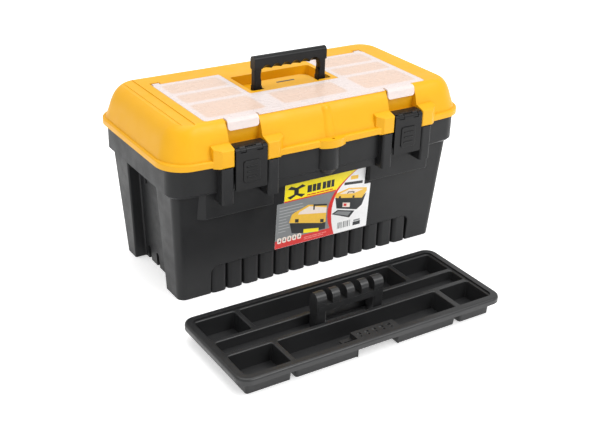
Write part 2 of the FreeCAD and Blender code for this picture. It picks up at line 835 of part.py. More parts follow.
def make_cover():
    gap = D["gap"]
    half_x = D["organiser_half_x"] - gap
    leg = D["leg_inner_x"] + gap
    rear = D["organiser_rear"] - 1
    front = D["organiser_front"] - gap
    plate = new_body("cover_plate")
    sketch = new_sketch(plate, "cover_plate_plan", offset=D["cover_low"])
    add_rounded(sketch, [(-half_x, -front, 5.5), (half_x, -front, 5.5), (half_x, rear, 5.5), (leg, rear, 2.5),
                         (leg, -34 - gap, 3.4), (-leg, -34 - gap, 3.4), (-leg, rear, 2.5), (-half_x, rear,
                                                                                            5.5)])
    pad(plate, sketch, D["cover_high"] - D["cover_low"])
    doc.recompute()
    round_edges(plate, 0.9, lambda point: point.z > D["cover_high"].value - 0.01)
    pieces = [plate, block("cover_lip", -117, 117, -119, -109, D["cover_low"], D["cover_high"] - 0.3)]
    half = D["tongue_half_width"]
    for name, sign in SIDES:
        centre = D["latch_x"] * sign
        profile = [(-108, D["cover_high"]), (-108, D["cover_low"]), (-121.4, D["cover_low"]), (-123.4, 282),
                   (-126.2, 282), (-124.2, D["cover_high"])]
        tongue = prism_x(f"tongue_{name}", centre - half, centre + half, profile)
        doc.recompute()
        round_edges(tongue, 7, lambda point: point.z > 298.3 and point.y < -124)
        for side in (-1, 1):
            edge_x = centre.value + half.value * side
            round_edges(tongue, 5, lambda point: point.z < 282.1 and abs(point.x - edge_x) < 0.1)
        pieces.append(tongue)
        x = D["cover_hinge_x"] * sign - D["cover_barrel_width"] / 2
        pieces.append(rod(f"cover_barrel_{name}", "x", x, D["cover_axis_y"], D["cover_axis_z"], 2.8,
                          D["cover_barrel_width"]))
        pieces.append(block(f"cover_web_{name}", x, x + D["cover_barrel_width"], 66, D["cover_axis_y"],
                            D["cover_low"], D["cover_high"] - 0.2))
    solid = fuse("cover_solid", pieces)
    bores = [rod(f"cover_barrel_bore_{name}", "x", D["cover_hinge_x"] * sign - 15, D["cover_axis_y"],
                 D["cover_axis_z"], D["cover_pin_radius"] + D["running_gap"], 30) for name, sign in SIDES]
    finish("organizer_cover", cut("cover", solid, bores))
    for name, sign in SIDES:
        x = D["cover_hinge_x"] * sign - 13
        finish(f"cover_hinge_pin_{name}", rod(f"cover_pin_{name}", "x", x, D["cover_axis_y"],
                                              D["cover_axis_z"], D["cover_pin_radius"], 26))


# ---------------------------------------------------------------------------
# Carry handle
# ---------------------------------------------------------------------------


def finger_scallops(grip_y):
    """Cylinders set at 45 degrees that hollow the two lower edges of the grip for the fingers."""
    scallops = []
    count, pitch, radius, offset, length = 6, 18.0, 12.0, 7.0, 30.0
    share = math.sqrt(0.5)
    for name, side in (("front", -1), ("rear", 1)):
        turn = FreeCAD.Rotation(FreeCAD.Vector(1, 0, 0), -45 * side)
        y = grip_y + side * (offset + (offset - length / 2) * share)
        z = D["grip_low"] - (offset + length / 2) * share
        for index in range(count):
            x = pitch * (index - (count - 1) / 2)
            scallop = rod(f"scallop_{name}_{index}", "z", x, y, z, radius, length)
            scallop.Placement.Rotation = turn
            scallops.append(scallop)
    return scallops


def make_handle():
    grip_y = -D["pivot_y"]
    grip = new_body("grip_bar")
    sketch = new_sketch(grip, "grip_profile", "YZ_Plane", -D["handle_half_x"])
    add_rounded(sketch, [(grip_y - 7, D["grip_low"], 3), (grip_y + 7, D["grip_low"], 3),
                         (grip_y + 7, D["handle_top"], 6.5), (grip_y - 7, D["handle_top"], 6.5)])
    pad(grip, sketch, D["handle_half_x"] * 2)
    pieces = [grip]
    half = D["post_width"] / 2
    for name, sign in SIDES:
        x = D["post_x"] * sign
        pieces.append(rounded_block(f"post_{name}", x - half, x + half, grip_y - 6.5, grip_y + 6.5,
                                    D["pivot_z"], D["grip_low"] + 8, 2.5))
        pieces.append(rod(f"post_eye_{name}", "x", x - half, grip_y, D["pivot_z"], 7.6, D["post_width"]))
        pieces.append(rounded_block(f"post_collar_{name}", x - half - 1.2, x + half + 1.2, grip_y - 7,
                                    grip_y + 7, 294, 301, 3))
    solid = fuse("handle_solid", pieces)
    bore = rod("handle_bore", "x", -90, grip_y, D["pivot_z"], D["pivot_radius"] + D["running_gap"], 180)
    finish("carry_handle", cut("handle", solid, [bore] + finger_scallops(grip_y)))
    for name, sign in SIDES:
        x = D["post_x"] * sign - 19
        finish(f"handle_pivot_pin_{name}", rod(f"pivot_pin_{name}", "x", x, grip_y, D["pivot_z"],
                                               D["pivot_radius"], 38))


# ---------------------------------------------------------------------------
# Latches
# ---------------------------------------------------------------------------


def flap_pieces(name, centre):
    """The flap's plate, its side webs, its raised finger pad and the barrels at its head."""
    half = D["latch_half_width"]
    pieces = []
    plate = new_body(f"flap_plate_{name}")
    sketch = new_sketch(plate, f"flap_plate_{name}_outline", "XZ_Plane", 147.5)
    add_rounded(sketch, rectangle_corners(centre - half, centre + half, D["flap_low"], D["latch_pin_z"] - 5, 2))
    pad(plate, sketch, 3.2)
    pieces.append(plate)
    pieces.append(block(f"flap_lip_{name}", centre - half, centre + half, -150.7, -150.1, D["latch_pin_z"] - 6,
                        D["latch_pin_z"] - 2.4))
    for label, side in (("a", -1), ("b", 1)):
        x0 = centre + half * side - (0 if side < 0 else 2)
        pieces.append(block(f"flap_web_{name}_{label}", x0, x0 + 2, -149, -141.5, 213, 246))
    finger_pad = new_body(f"finger_pad_{name}")
    sketch = new_sketch(finger_pad, f"finger_pad_{name}_outline", "XZ_Plane", 149)
    add_rounded(sketch, rectangle_corners(centre - 14.5, centre + 14.5, 205, 240, 4))
    pad(finger_pad, sketch, 3.4)
    doc.recompute()
    round_edges(finger_pad, 1, lambda point: point.y < -152.3)
    pieces.append(finger_pad)
    for index in range(3):
        z = 214 + 8.5 * index
        pieces.append(rod(f"pad_bar_{name}_{index}", "x", centre - 9, -152.2, z, 1.3, 18))
    for label, low, high in (("a", -27, -19.3), ("b", -9, 9), ("c", 19.3, 27)):
        pieces.append(rod(f"flap_barrel_{name}_{label}", "x", centre + low, -D["latch_pin_y"],
                          D["latch_pin_z"], 4.7, high - low))
        pieces.append(block(f"flap_neck_{name}_{label}", centre + low, centre + high, -150.7, -146.2,
                            D["latch_pin_z"] - 6, D["latch_pin_z"]))
    return pieces


def make_latches():
    for name, sign in SIDES:
        centre = D["latch_x"] * sign
        pin_y = -D["latch_pin_y"]
        pin_z = D["latch_pin_z"]
        bore_radius = D["latch_pin_radius"] + D["running_gap"]
        bore = rod(f"flap_bore_{name}", "x", centre - 30, pin_y, pin_z, bore_radius, 60)
        flap = cut(f"flap_{name}", fuse(f"flap_solid_{name}", flap_pieces(name, centre)), [bore])
        finish(f"latch_flap_{name}", flap)
        half = D["latch_half_width"] - 0.5
        low, high = D["ledge"] + 0.2, D["ledge"] + 3.3
        pieces = [rounded_block(f"plate_slab_{name}", centre - half, centre + half, -139, -129, low, high, 2),
                  prism_x(f"plate_hood_{name}", centre - half, centre + half,
                          [(-136.5, high), (-139, high), (-145.2, pin_z + 6.1), (-145.2, pin_z + 5.2),
                           (-141, low), (-136.5, low)])]
        for label, x0, x1 in (("a", -18.6, -9.4), ("b", 9.4, 18.6)):
            pieces.append(rod(f"plate_barrel_{name}_{label}", "x", centre + x0, pin_y, pin_z, 4.2, x1 - x0))
            pieces.append(prism_x(f"plate_arm_{name}_{label}", centre + x0, centre + x1,
                                  [(-136.5, high), (-139, high), (-145.2, pin_z + 6.1), (-146.5, pin_z + 4.1),
                                   (-146, pin_z + 1.3), (-141, pin_z + 1.3), (-137.2, low), (-136.5, low)]))
        plate_bore = rod(f"plate_bore_{name}", "x", centre - 30, pin_y, pin_z, bore_radius, 60)
        finish(f"latch_plate_{name}", cut(f"plate_{name}", fuse(f"plate_solid_{name}", pieces), [plate_bore]))
        finish(f"latch_pin_{name}", rod(f"hinge_wire_{name}", "x", centre - 26.5, pin_y, pin_z,
                                        D["latch_pin_radius"], 53))


# ---------------------------------------------------------------------------
# Label and rear hinge pins
# ---------------------------------------------------------------------------


def make_label():
    """A thin printed sheet on the drafted front wall, stepped in at its upper part."""
    slope = math.degrees(math.atan((D["shoulder_half_y"].value - D["floor_half_y"].value)
                                   / D["shoulder_height"].value))
    body = new_body("label_sheet")
    sketch = new_sketch(body, "label_outline", "XZ_Plane", 0.05)
    x0 = D["label_centre"] - D["label_half_x"]
    x1 = D["label_centre"] + D["label_half_x"]
    inset = D["label_inset"]
    low, step, high = D["label_low"], D["label_step"], D["label_high"]
    add_rounded(sketch, [(x0, low, 1.5), (x1, low, 1.5), (x1, step, 1.5), (x1 - inset, step, 1.5),
                         (x1 - inset, high, 1.5), (x0 + inset, high, 1.5), (x0 + inset, step, 1.5),
                         (x0, step, 1.5)])
    pad(body, sketch, D["label_thickness"])
    body.Placement = FreeCAD.Placement(FreeCAD.Vector(0, 0, 0), FreeCAD.Rotation(FreeCAD.Vector(1, 0, 0),
                                                                                 slope))
    place(body, 0, -D["floor_half_y"], 0)
    finish("front_label", body)


def make_hinge_pins():
    for name, sign in SIDES:
        x = D["hinge_x"] * sign - 26
        finish(f"lid_hinge_pin_{name}", rod(f"hinge_pin_{name}", "x", x, D["hinge_y"], D["hinge_z"],
                                            D["hinge_pin_radius"], 52))


# ---------------------------------------------------------------------------
# Tray
# ---------------------------------------------------------------------------

# Bins of the tray as x spans from its centre, for the rear row and the front row.
REAR_BINS = ((-218.0, -151.5), (-143.5, 134.5), (142.5, 218.0))
FRONT_BINS = ((-218.0, -145.5), (-137.5, 150.0), (160.0, 218.0))


def make_tray():
    centre_x = D["tray_centre_x"]
    centre_y = D["tray_centre_y"]
    half_x = D["tray_length"] / 2
    half_y = D["tray_depth"] / 2
    rim = D["tray_rim"]
    divider = D["tray_divider"]
    slab_low = 26
    channel = 15.5
    draft = -4

    def plan(sketch, inset, radius):
        add_rounded(sketch, rectangle_corners(centre_x - half_x + inset, centre_x + half_x - inset,
                                              centre_y - half_y + inset, centre_y + half_y - inset, radius))

    body = new_body("tray_moulding")
    sketch = new_sketch(body, "tray_rim_plan", offset=slab_low)
    plan(sketch, 0, 20)
    pad(body, sketch, rim - slab_low)
    round_edges(body, 4, lambda point: point.z > rim.value - 0.01)
    sketch = new_sketch(body, "tray_skirt_plan", offset=slab_low + 1)
    plan(sketch, 0, 20)
    plan(sketch, 3, 17)
    pad(body, sketch, 3.5, reverse=True)
    rows = (("rear", REAR_BINS, centre_y + 23.5, centre_y + 78), ("front", FRONT_BINS, centre_y - 78,
                                                                  centre_y - 23.5))
    for row_name, spans, y0, y1 in rows:
        sketch = new_sketch(body, f"tray_{row_name}_outer", offset=slab_low + 1)
        for x0, x1 in spans:
            add_rounded(sketch, rectangle_corners(centre_x + x0 - 2, centre_x + x1 + 2, y0 - 2, y1 + 2, 6))
        pad(body, sketch, slab_low + 1, taper=draft, reverse=True)
    sketch = new_sketch(body, "tray_channel_outer", offset=slab_low + 1)
    add_rounded(sketch, rectangle_corners(centre_x - 219, centre_x + 219, centre_y - channel - 2.5,
                                          centre_y + channel + 2.5, 3))
    pad(body, sketch, 15, reverse=True)
    sketch = new_sketch(body, "tray_mouth", offset=rim)
    plan(sketch, 12, 10)
    pocket(body, sketch, rim - divider)
    for row_name, spans, y0, y1 in rows:
        sketch = new_sketch(body, f"tray_{row_name}_inner", offset=divider)
        for x0, x1 in spans:
            add_rounded(sketch, rectangle_corners(centre_x + x0, centre_x + x1, y0, y1, 4))
        pocket(body, sketch, divider - 2, taper=draft)
    sketch = new_sketch(body, "tray_channel_inner", offset=divider)
    add_rounded(sketch, rectangle_corners(centre_x - 217, centre_x + 217, centre_y - channel,
                                          centre_y + channel, 4))
    pocket(body, sketch, divider - 14)
    reach_x, reach_y = 218.1, 78.1
    round_edges(body, 1.8, lambda point: abs(point.z - divider.value) < 0.01
                and abs(point.x - centre_x.value) < reach_x and abs(point.y - centre_y.value) < reach_y)
    sketch = new_sketch(body, "tray_hand_slot", offset=20)
    add_rounded(sketch, rectangle_corners(-104, -22, centre_y - 13, centre_y + 9, 3))
    pocket(body, sketch, 12)
    alcove = block("front_alcove", -93, -21, -378, -353, -5, 27.5)
    shelf_slot = block("alcove_shelf_slots", -110, -97, -366, -358, 10, 40)
    alcoved = cut("tray_alcoved", body, [alcove])
    shelf = block("alcove_shelf", -114, -94, -370, -351, 20, 22)
    shelved = cut("alcove_shelf_slotted", shelf, [shelf_slot])
    walls = [
        block("alcove_left_wall", -95, -93, -372, -351, 0, divider),
        block("alcove_right_wall", -21, -19, -372, -351, 0, divider),
        block("alcove_back_wall", -95, -19, -353, -351, 0, divider),
        block("bit_strip", -95, -19, -372, -351, 27.5, divider),
    ]
    solid = fuse("tray_solid", [alcoved, shelved] + walls + tray_grip(centre_y))
    holes = []
    for index in range(5):
        x = -32.3 - 13.3 * index
        holes.append(block(f"bit_hole_{index}", x - 3.5, x + 3.5, -362, -357, 25, 35))
        x = -31.3 - 13.8 * index
        holes.append(block(f"small_hole_{index}", x - 2, x + 2, -368.2, -365.2, 25, 35))
    finish("tray", cut("tray_piece", solid, holes))


def tray_grip(centre_y):
    """Two posts, a bar and five rounded knuckles over the middle channel."""
    pieces = []
    first, pitch = -114.0, 25.9
    widths = (17.0, 13.5, 13.5, 13.5, 17.0)
    deep = 10.5
    for index, width in enumerate(widths):
        x = first + pitch * index
        knuckle = new_body(f"knuckle_{index}")
        sketch = new_sketch(knuckle, f"knuckle_{index}_profile", "YZ_Plane", x - width / 2)
        add_rounded(sketch, [(centre_y - deep, 44, 2), (centre_y + deep, 44, 2),
                             (centre_y + deep, D["grip_top"], 10.2), (centre_y - deep, D["grip_top"], 10.2)])
        pad(knuckle, sketch, width)
        pieces.append(knuckle)
        if index in (0, len(widths) - 1):
            pieces.append(rounded_block(f"grip_post_{index}", x - width / 2, x + width / 2, centre_y - 11,
                                        centre_y + 11, 13, 60, 3))
    last = first + pitch * (len(widths) - 1)
    bar = rounded_block("grip_bar_lower", first - 8, last + 8, centre_y - 11.5, centre_y + 11.5, 46, 56, 3)
    pieces.append(bar)
    return pieces


# ---------------------------------------------------------------------------
# Build, check and write
# ---------------------------------------------------------------------------


def write_parts():
    doc.recompute()
    failed = [item.Name for item in doc.Objects if "Invalid" in item.State or "Error" in item.State]
    if failed:
        raise RuntimeError(f"objects failed: {failed}")
    os.makedirs("parts", exist_ok=True)
    for item in finished:
        shape = item.Shape
        if shape.isNull() or not shape.isValid():
            raise RuntimeError(f"{item.Label} has no valid shape")
        box = shape.BoundBox
        print(f"{item.Label}: {len(shape.Solids)} solid, {shape.Volume / 1000:.1f} cm3,"
              f" x {box.XMin:.1f}..{box.XMax:.1f}"
              f" y {box.YMin:.1f}..{box.YMax:.1f} z {box.ZMin:.1f}..{box.ZMax:.1f}")
        shape.exportStep(os.path.join("parts", f"{item.Label}.step"))


make_tub()
make_lid()
make_cover()
make_handle()
make_latches()
make_label()
make_hinge_pins()
make_tray()
write_parts()
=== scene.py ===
"""Looks of the toolbox with tray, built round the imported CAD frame. Metres, Z up."""

import math

import bmesh
import bpy
from mathutils import Matrix, Vector


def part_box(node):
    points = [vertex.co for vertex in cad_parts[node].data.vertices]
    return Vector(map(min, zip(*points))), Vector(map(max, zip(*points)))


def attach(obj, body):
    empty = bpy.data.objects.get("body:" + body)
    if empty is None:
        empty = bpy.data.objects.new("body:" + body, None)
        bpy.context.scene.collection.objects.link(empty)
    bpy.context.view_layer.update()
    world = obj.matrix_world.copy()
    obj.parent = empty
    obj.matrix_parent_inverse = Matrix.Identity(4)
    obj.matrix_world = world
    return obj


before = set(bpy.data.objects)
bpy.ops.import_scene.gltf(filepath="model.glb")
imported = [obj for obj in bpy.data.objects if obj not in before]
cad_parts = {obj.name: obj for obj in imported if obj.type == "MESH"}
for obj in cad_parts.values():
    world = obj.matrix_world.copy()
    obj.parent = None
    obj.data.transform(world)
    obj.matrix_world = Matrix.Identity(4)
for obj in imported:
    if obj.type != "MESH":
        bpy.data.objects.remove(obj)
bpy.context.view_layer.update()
MM = 0.001

# The camera's aim and distance in millimetres, its angles in degrees, and its lens.
CAMERA_TARGET = (-80.3, -184.2, 140.0)
CAMERA_DISTANCE = 1580.1
CAMERA_AZIMUTH = -32.8
CAMERA_ELEVATION = 26.2
CAMERA_ROLL = 1.7
SENSOR_WIDTH = 36.0
FOCAL_LENGTH = 61.44
CAMERA_REACH = 50

# The surround and the floor, in metres.
SURROUND_STRENGTH = 0.75
FLOOR_REACH = 30.0
FLOOR_DROP = 0.0003
FLOOR_GREY = 0.95
FLOOR_ROUGHNESS = 0.6
FLOOR_GLOW = 0.45

# Each soft light's name, place, aim, size and power.
LIGHTS = (
    ("key", (0.9, -1.9, 2.1), (0, 0, 0.15), (1.6, 1.2), 38),
    ("top", (-0.1, 0.2, 2.4), (0, -0.1, 0.1), (2.2, 1.8), 30),
    ("left_fill", (-2.4, -0.6, 1.1), (0, 0, 0.15), (1.2, 1.4), 2.5),
)

# The bins under the organiser cover, in millimetres. Rows run rearward from the cover's front edge.
TONGUE_REACH = 14.6
FRONT_BIN_CENTRE = 39
FRONT_BIN_HALF = (60, 27)
SIDE_BIN_CENTRE = 144.5
SIDE_BIN_HALF = 50.5
SIDE_BIN_ROWS = ((8, 66), (80, 42), (128, 48))
HALF_DIVIDER = 2.5

# The cover's painted view of the bins below it: painted light over the dividers and painted shade over the
# open bins, then how opaque the cover is over each.
DIVIDER_PAINTED_LIGHT = (0.80, 0.72, 0.70)
BIN_PAINTED_SHADE = (0.85, 0.67, 0.56)
DIVIDER_ALPHA = 0.72
BIN_ALPHA = 0.62
BIN_CORNER = 0.012
BIN_EDGE_BLUR = 0.002

# The label's inks.
INKS = {
    "yellow": (0.95, 0.78, 0.012),
    "red": (0.68, 0.022, 0.02),
    "rose": (0.8, 0.25, 0.22),
    "grey": (0.22, 0.23, 0.235),
    "pale": (0.42, 0.43, 0.43),
    "dark": (0.02, 0.022, 0.025),
    "amber": (0.86, 0.52, 0.06),
    "pink": (0.85, 0.74, 0.66),
}

# The ink layers of the print, in millimetres: where it starts above the face, and one layer's thickness.
INK_START = 0.02
INK_LAYER = 0.04


# ---------------------------------------------------------------------------
# Camera, light and floor
# ---------------------------------------------------------------------------


def make_camera():
    """A long lens in front of the box, to its left and above it."""
    target = Vector(CAMERA_TARGET) * MM
    azimuth = math.radians(CAMERA_AZIMUTH)
    elevation = math.radians(CAMERA_ELEVATION)
    roll = math.radians(CAMERA_ROLL)
    back = Vector((math.sin(azimuth) * math.cos(elevation), -math.cos(azimuth) * math.cos(elevation),
                   math.sin(elevation)))
    right = (-back).cross(Vector((0, 0, 1))).normalized()
    up = back.cross(right)
    rolled_right = right * math.cos(roll) + up * math.sin(roll)
    rolled_up = up * math.cos(roll) - right * math.sin(roll)
    data = bpy.data.cameras.new("camera")
    data.sensor_width = SENSOR_WIDTH
    data.lens = FOCAL_LENGTH
    data.clip_end = CAMERA_REACH
    camera = bpy.data.objects.new("camera", data)
    bpy.context.scene.collection.objects.link(camera)
    turn = Matrix((rolled_right, rolled_up, back)).transposed().to_4x4()
    camera.matrix_world = Matrix.Translation(target + back * (CAMERA_DISTANCE * MM)) @ turn
    bpy.context.scene.camera = camera


def area_light(name, place, aim, size, power):
    """A soft rectangular light at a place, turned towards its aim."""
    data = bpy.data.lights.new(name, "AREA")
    data.shape = "RECTANGLE"
    data.size, data.size_y = size
    data.energy = power
    light = bpy.data.objects.new(name, data)
    bpy.context.scene.collection.objects.link(light)
    light.location = place
    light.rotation_euler = (Vector(aim) - Vector(place)).to_track_quat("-Z", "Y").to_euler()


def make_stage():
    """A pale floor, an even pale surround and three large soft lights."""
    world = bpy.data.worlds.new("studio")
    world.use_nodes = True
    background = world.node_tree.nodes["Background"]
    background.inputs["Color"].default_value = (1.0, 1.0, 1.0, 1)
    background.inputs["Strength"].default_value = SURROUND_STRENGTH
    bpy.context.scene.world = world
    mesh = bpy.data.meshes.new("floor")
    corners = [(x * FLOOR_REACH, y * FLOOR_REACH, 0) for x, y in ((-1, -1), (1, -1), (1, 1), (-1, 1))]
    mesh.from_pydata(corners, [], [(0, 1, 2, 3)])
    floor = bpy.data.objects.new("floor", mesh)
    floor.location.z = -FLOOR_DROP
    bpy.context.scene.collection.objects.link(floor)
    material = bpy.data.materials.new("floor_white")
    material.use_nodes = True
    shader = material.node_tree.nodes["Principled BSDF"]
    shader.inputs["Base Color"].default_value = (FLOOR_GREY, FLOOR_GREY, FLOOR_GREY, 1)
    shader.inputs["Roughness"].default_value = FLOOR_ROUGHNESS
    shader.inputs["Emission Color"].default_value = (1, 1, 1, 1)
    shader.inputs["Emission Strength"].default_value = FLOOR_GLOW
    mesh.materials.append(material)
    for light in LIGHTS:
        area_light(*light)
    bpy.context.scene.view_settings.view_transform = "Standard"


# ---------------------------------------------------------------------------
# Materials
# ---------------------------------------------------------------------------


class Nodes:
    """Short forms for the nodes that the materials share."""

    def __init__(self, name):
        self.material = bpy.data.materials.new(name)
        self.material.use_nodes = True
        self.tree = self.material.node_tree
        self.shader = self.tree.nodes["Principled BSDF"]
        self.position = self.tree.nodes.new("ShaderNodeTexCoord").outputs["Object"]

    def noise(self, scale, detail=3.0, roughness=0.55):
        node = self.tree.nodes.new("ShaderNodeTexNoise")
        node.inputs["Scale"].default_value = scale
        node.inputs["Detail"].default_value = detail
        node.inputs["Roughness"].default_value = roughness
        self.tree.links.new(self.position, node.inputs["Vector"])
        return node.outputs["Fac"]

    def ramp(self, value, stops):
        """Colours or greys along a value; each stop is a place and a colour."""
        node = self.tree.nodes.new("ShaderNodeValToRGB")
        elements = node.color_ramp.elements
        while len(elements) < len(stops):
            elements.new(0.5)
        for element, (place, colour) in zip(elements, stops):
            element.position = place
            element.color = (*colour, 1)
        self.tree.links.new(value, node.inputs["Fac"])
        return node.outputs["Color"]

    def grey_ramp(self, value, low, high, start=0.35, end=0.65):
        return self.ramp(value, [(start, (low,) * 3), (end, (high,) * 3)])

    def bump(self, height, strength, distance):
        node = self.tree.nodes.new("ShaderNodeBump")
        node.inputs["Strength"].default_value = strength
        node.inputs["Distance"].default_value = distance
        self.tree.links.new(height, node.inputs["Height"])
        return node.outputs["Normal"]

    def plug(self, output, socket):
        self.tree.links.new(output, self.shader.inputs[socket])


def moulded(name, dark, light, rough, shine, bump=0.18):
    """Injection-moulded plastic: a slow colour drift, a fine etched grain and uneven gloss."""
    n = Nodes(name)
    n.plug(n.ramp(n.noise(9.0, 4.0), [(0.3, dark), (0.7, light)]), "Base Color")
    n.plug(n.grey_ramp(n.noise(40.0, 5.0), rough - 0.05, rough + 0.06), "Roughness")
    n.plug(n.bump(n.noise(1800.0, 2.0), bump, 0.0002), "Normal")
    n.shader.inputs["Specular IOR Level"].default_value = shine
    return n.material


def steel(name):
    """Drawn wire with a fine uneven gloss."""
    n = Nodes(name)
    n.shader.inputs["Metallic"].default_value = 1.0
    n.plug(n.ramp(n.noise(300.0), [(0.3, (0.45, 0.45, 0.46)), (0.7, (0.65, 0.65, 0.66))]), "Base Color")
    n.plug(n.grey_ramp(n.noise(900.0), 0.25, 0.4), "Roughness")
    return n.material


def bin_areas():
    """Centre and half size of the seven bins under the organiser cover, measured from the cover's box."""
    low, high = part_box("organizer_cover")
    middle = (low[0] + high[0]) / 2
    front = low[1] + TONGUE_REACH * MM
    areas = [(middle, front + FRONT_BIN_CENTRE * MM, FRONT_BIN_HALF[0] * MM, FRONT_BIN_HALF[1] * MM)]
    for side in (-1, 1):
        for start, depth in SIDE_BIN_ROWS:
            centre = (middle + side * SIDE_BIN_CENTRE * MM, front + (start + depth / 2) * MM)
            areas.append((*centre, SIDE_BIN_HALF * MM, (depth / 2 - HALF_DIVIDER) * MM))
    return areas


def milky_cover_painted_bins(name):
    """Thin translucent milky plastic, more opaque over the dividers, with the bins below it painted on:
    painted light over the dividers and painted shade over the open bins, which moves with the cover when it
    opens.
    """
    n = Nodes(name)
    split = n.tree.nodes.new("ShaderNodeSeparateXYZ")
    n.tree.links.new(n.position, split.inputs["Vector"])

    def math_node(kind, first, second=None, third=None):
        node = n.tree.nodes.new("ShaderNodeMath")
        node.operation = kind
        for index, value in enumerate((first, second, third)):
            if isinstance(value, (int, float)):
                node.inputs[index].default_value = value
            elif value is not None:
                n.tree.links.new(value, node.inputs[index])
        return node.outputs["Value"]

    def past(axis, centre, half):
        """How far a point lies past a bin's half size along one axis."""
        away = math_node("ABSOLUTE", math_node("SUBTRACT", split.outputs[axis], centre))
        return math_node("SUBTRACT", away, half)

    nearest = None
    for x, y, half_x, half_y in bin_areas():
        outside = math_node("SMOOTH_MAX", past("X", x, half_x), past("Y", y, half_y), BIN_CORNER)
        nearest = outside if nearest is None else math_node("MINIMUM", nearest, outside)
    blend = n.tree.nodes.new("ShaderNodeMapRange")
    blend.inputs["From Min"].default_value = BIN_EDGE_BLUR
    blend.inputs["From Max"].default_value = -BIN_EDGE_BLUR
    n.tree.links.new(nearest, blend.inputs["Value"])
    drift = math_node("ADD", math_node("MULTIPLY", n.noise(6.0), 0.5), 0.75)
    painted_bin_shade = math_node("MULTIPLY", blend.outputs["Result"], drift)
    # Painted shade over the open bins and painted light over the dividers, standing in for what shows through
    # the cover; it is not the cover's own colour.
    n.plug(n.ramp(painted_bin_shade, [(0.0, DIVIDER_PAINTED_LIGHT), (0.9, BIN_PAINTED_SHADE)]), "Base Color")
    n.plug(n.grey_ramp(painted_bin_shade, DIVIDER_ALPHA, BIN_ALPHA, 0.0, 0.9), "Alpha")
    n.plug(n.grey_ramp(n.noise(60.0), 0.22, 0.34), "Roughness")
    n.shader.inputs["Specular IOR Level"].default_value = 0.4
    return n.material


def flat_ink(name, colour):
    """Printing ink: near-even colour with a faint mottling."""
    n = Nodes(name)
    dark = tuple(c * 0.93 for c in colour)
    n.plug(n.ramp(n.noise(220.0), [(0.3, dark), (0.7, colour)]), "Base Color")
    n.plug(n.grey_ramp(n.noise(90.0), 0.31, 0.41), "Roughness")
    return n.material


def make_materials():
    """Every material by its short name: the mouldings, the cover, the pins and the label's inks."""
    tub_tones = (0.0135, 0.0138, 0.0146), (0.0165, 0.0168, 0.0176)
    tray_tones = (0.015, 0.0153, 0.016), (0.019, 0.0193, 0.02)
    black_tones = (0.008, 0.008, 0.0085), (0.011, 0.011, 0.0115)
    lid_tones = (0.71, 0.345, 0.002), (0.745, 0.375, 0.004)
    materials = {
        "tub": moulded("tub_plastic", *tub_tones, rough=0.4, shine=0.2),
        "tray": moulded("tray_plastic", *tray_tones, rough=0.36, shine=0.45),
        "black": moulded("black_plastic", *black_tones, rough=0.34, shine=0.2),
        "lid": moulded("lid_plastic", *lid_tones, rough=0.42, shine=0.3, bump=0.12),
        "cover": milky_cover_painted_bins("cover_plastic"),
        "steel": steel("pin_steel"),
        "label": flat_ink("label_white", (0.86, 0.86, 0.86)),
    }
    for key, colour in INKS.items():
        materials[key] = flat_ink(f"ink_{key}", colour)
    return materials


def dress_nodes(materials):
    """Give every CAD node that stays visible its material."""
    finishes = {"base_tub": "tub", "lid_shell": "lid", "organizer_cover": "cover", "carry_handle": "black",
                "front_label": "label", "tray": "tray"}
    for name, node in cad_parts.items():
        key = finishes.get(name)
        if key is None:
            key = "black" if name.startswith(("latch_flap", "latch_plate")) else "steel"
        node.data.materials.clear()
        node.data.materials.append(materials[key])


# ---------------------------------------------------------------------------
# Printed label
# ---------------------------------------------------------------------------

# The curved edge between the label's dark left part and its white right part, and the red band inside it.
# Millimetres across and up from the label's lower left corner.
ARC = [(114, 0), (107, 12), (102, 25), (99.5, 38), (99.5, 52), (101.5, 62), (105.5, 72), (111, 82), (119, 91),
       (129, 100), (141, 109), (154, 117)]
ARC_INNER = [(x + w, y) for (x, y), w in zip(ARC, (2, 5, 7, 8, 8, 7.5, 6.5, 5.5, 4.5, 3.5, 2.5, 2))]

